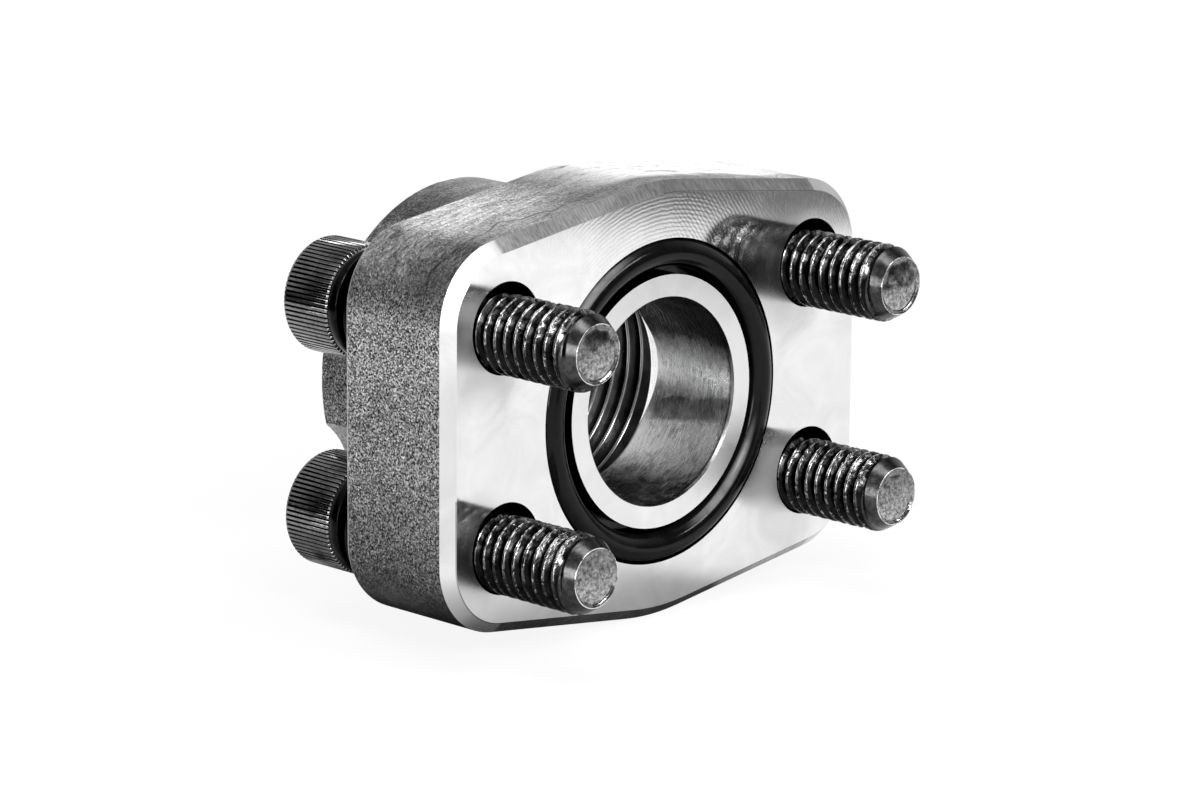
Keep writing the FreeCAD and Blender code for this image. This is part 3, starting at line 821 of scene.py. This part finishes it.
def make_seal(material):
    low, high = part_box("o_ring")
    ring_radius = high.x - SEAL_SECTION
    level = low.y + SEAL_SECTION
    around, across = 288, 48
    points = []
    for i in range(around):
        for j in range(across):
            angle = TURN * j / across
            flash = FLASH_HEIGHT * math.exp(-(math.sin(angle) / 0.06) ** 2) * (math.cos(angle) < 0)
            section = SEAL_SECTION - FLASH_HEIGHT + flash
            points.append(on_circle(ring_radius + section * math.cos(angle), TURN * i / around,
                                    level + section * math.sin(angle)))
    faces = []
    for i in range(around):
        for j in range(across):
            a, b = i * across, (i + 1) % around * across
            k = (j + 1) % across
            faces.append((a + j, a + k, b + k, b + j))
    piece = make_piece("face_seal_ring", points, faces, material, sharp_angle=180)
    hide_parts("o_ring")
    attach(piece, "root")


def make_pipe_thread(material):
    """The ridges of the pipe thread, on the wall that the solid has at the thread's outer diameter."""
    segments = 200
    wall = THREAD_RADIUS - 0.015 * MM
    crest = wall - PIPE_DEPTH
    buried = THREAD_RADIUS + 0.3 * MM
    rear = HUB_END - THREAD_MOUTH
    profile = thread_profile(crest, wall, PIPE_PITCH, PIPE_ROUND)

    def shape(radius, level, angle):
        run_in = wall - max(0.0, (level - PIPE_START) * 1.1)
        chamfered = wall - max(0.0, rear - level)
        return max(radius, run_in, chamfered)

    points, faces = helix_points(profile, PIPE_PITCH, PIPE_START, rear, segments, shape)
    first = len(points)
    for radius, level in ((wall, PIPE_START), (buried, PIPE_START), (buried, rear), (wall, rear)):
        points += [on_circle(radius, TURN * j / segments, level) for j in range(segments)]
    faces += ring_faces(4, segments, first)
    piece = make_piece("pipe_thread", points, faces, material, sharp_angle=50)
    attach(piece, "root")


# The camera of the photograph: a long lens that looks at the port from the front left
PHOTO_WIDTH = 1200
FOCAL_PIXELS = 4800
AZIMUTH = math.radians(-46.11)
ELEVATION = math.radians(13.64)
ROLL = math.radians(0.45)
DISTANCE = 572.05 * MM
AIM_RIGHT = -7.40 * MM
AIM_UP = 0.21 * MM


def make_camera():
    back = Vector((math.sin(AZIMUTH) * math.cos(ELEVATION), -math.cos(AZIMUTH) * math.cos(ELEVATION),
                   math.sin(ELEVATION)))
    level_right = Vector((math.cos(AZIMUTH), math.sin(AZIMUTH), 0))
    level_up = back.cross(level_right)
    right = level_right * math.cos(ROLL) + level_up * math.sin(ROLL)
    up = level_up * math.cos(ROLL) - level_right * math.sin(ROLL)
    camera = bpy.data.objects.new("camera", bpy.data.cameras.new("camera"))
    camera.data.sensor_width = 36
    camera.data.lens = FOCAL_PIXELS / PHOTO_WIDTH * camera.data.sensor_width
    camera.data.clip_start = 0.05
    camera.data.clip_end = 20
    spot = back * DISTANCE + right * AIM_RIGHT + up * AIM_UP
    camera.matrix_world = Matrix.Translation(spot) @ Matrix((right, up, back)).transposed().to_4x4()
    bpy.context.scene.collection.objects.link(camera)
    bpy.context.scene.camera = camera


# Light: plain light on what is matt. The metal sees a sweep behind the part and to its right, a
# pale ceiling, a white screen on the camera's side and soft boxes, in a room that is dark elsewhere
CAMERA_X, CAMERA_Y = -0.70, -0.72
WORLD_LIGHT = 0.36
ROOM_LIGHT = 0.03
SWEEP_LIGHT = 0.55
FLOOR_GLOW = 0.90
MIRROR_GLOW = 0.92
FLOOR_SIZE = 3.0
POOL_START = 234.0
POOL_END = 250.0
FLOOR_FADE = 420.0


class WorldNodes(Nodes):
    """The node tree of the world, with the same short calls."""

    def __init__(self, name):
        world = bpy.data.worlds.new(name)
        bpy.context.scene.world = world
        world.use_nodes = True
        self.tree = world.node_tree
        self.tree.nodes.clear()
        self.output = self.tree.nodes.new("ShaderNodeOutputWorld")


def make_world():
    """White to the camera; the metal sees the sweep, the ceiling and the screen in a dark room."""
    n = WorldNodes("studio")
    towards = n.node("TexCoord").outputs["Generated"]
    x, y, z = n.parts(towards)
    sideways = n.plus(n.times(x, 0.75), n.times(y, 0.66))
    sweep = n.all_of(n.step(sideways, 0.1, 0.5), n.step(z, 0.85, 0.35))
    ceiling = n.step(n.minus(z, n.times(x, 0.3)), 0.50, 0.75)
    mirrored = n.mix(n.any_of(sweep, ceiling), ROOM_LIGHT, SWEEP_LIGHT)
    to_camera = n.plus(n.times(x, CAMERA_X), n.times(y, CAMERA_Y))
    screen = n.all_of(n.step(to_camera, 0.66, 0.76), n.step(z, 0.78, 0.68))
    mirrored = n.mix(screen, mirrored, MIRROR_GLOW)
    sees = n.node("LightPath").outputs
    reflected = n.any_of(sees["Is Glossy Ray"], sees["Is Transmission Ray"])
    strength = n.mix(reflected, WORLD_LIGHT, mirrored)
    strength = n.mix(sees["Is Camera Ray"], strength, 1.0)
    background = n.node("Background", {"Color": (1.0, 1.0, 1.0), "Strength": strength})
    n.tree.links.new(background.outputs[0], n.output.inputs[0])


def soft_box(name, towards, distance, width, height, radiance):
    """An area lamp that looks at the middle of the part, its width level, with its surface's brightness."""
    lamp = bpy.data.lights.new(name, "AREA")
    lamp.shape = "RECTANGLE"
    lamp.size = width
    lamp.size_y = height
    lamp.energy = radiance * math.pi * width * height
    box = bpy.data.objects.new(name, lamp)
    back = Vector(towards).normalized()
    across = Vector((0, 0, 1)).cross(back).normalized()
    axes = Matrix((across, back.cross(across), back)).transposed().to_4x4()
    box.matrix_world = Matrix.Translation(back * distance + Vector((0, 0.01, 0))) @ axes
    bpy.context.scene.collection.objects.link(box)


def make_floor():
    half = FLOOR_SIZE / 2
    points = [(-half, -half, GROUND), (half, -half, GROUND), (half, half, GROUND), (-half, half, GROUND)]
    mesh = bpy.data.meshes.new("floor")
    mesh.from_pydata(points, [], [(0, 1, 2, 3)])
    mesh.materials.append(floor_white())
    floor = bpy.data.objects.new("floor", mesh)
    bpy.context.scene.collection.objects.link(floor)


def dress():
    steel = flange_steel()
    black = screw_steel()
    flange = frame["nodes"]["flange_body"]
    flange.data.materials.clear()
    flange.data.materials.append(steel)
    make_seal(seal_rubber())
    make_pipe_thread(steel)
    spring = washer_steel()
    for seed, place_name in enumerate(SCREW_TURNS):
        make_screw(place_name, seed, black)
        make_washer(place_name, spring)


dress()
make_floor()
make_world()
soft_box("overhead", (-0.08, -0.12, 0.98), 0.85, 0.80, 0.30, 5)
soft_box("left_strip", (-0.90, -0.36, 0.22), 0.9, 0.10, 0.40, 13)
soft_box("rim", (0.71, 0.66, 0.26), 0.9, 0.45, 0.14, 4)
soft_box("key", (-0.42, -0.70, 0.55), 0.9, 0.26, 0.22, 20)
soft_box("fill", (0.32, -0.80, 0.50), 0.9, 0.45, 0.09, 18)
make_camera()

bpy.context.scene.view_settings.view_transform = "Standard"
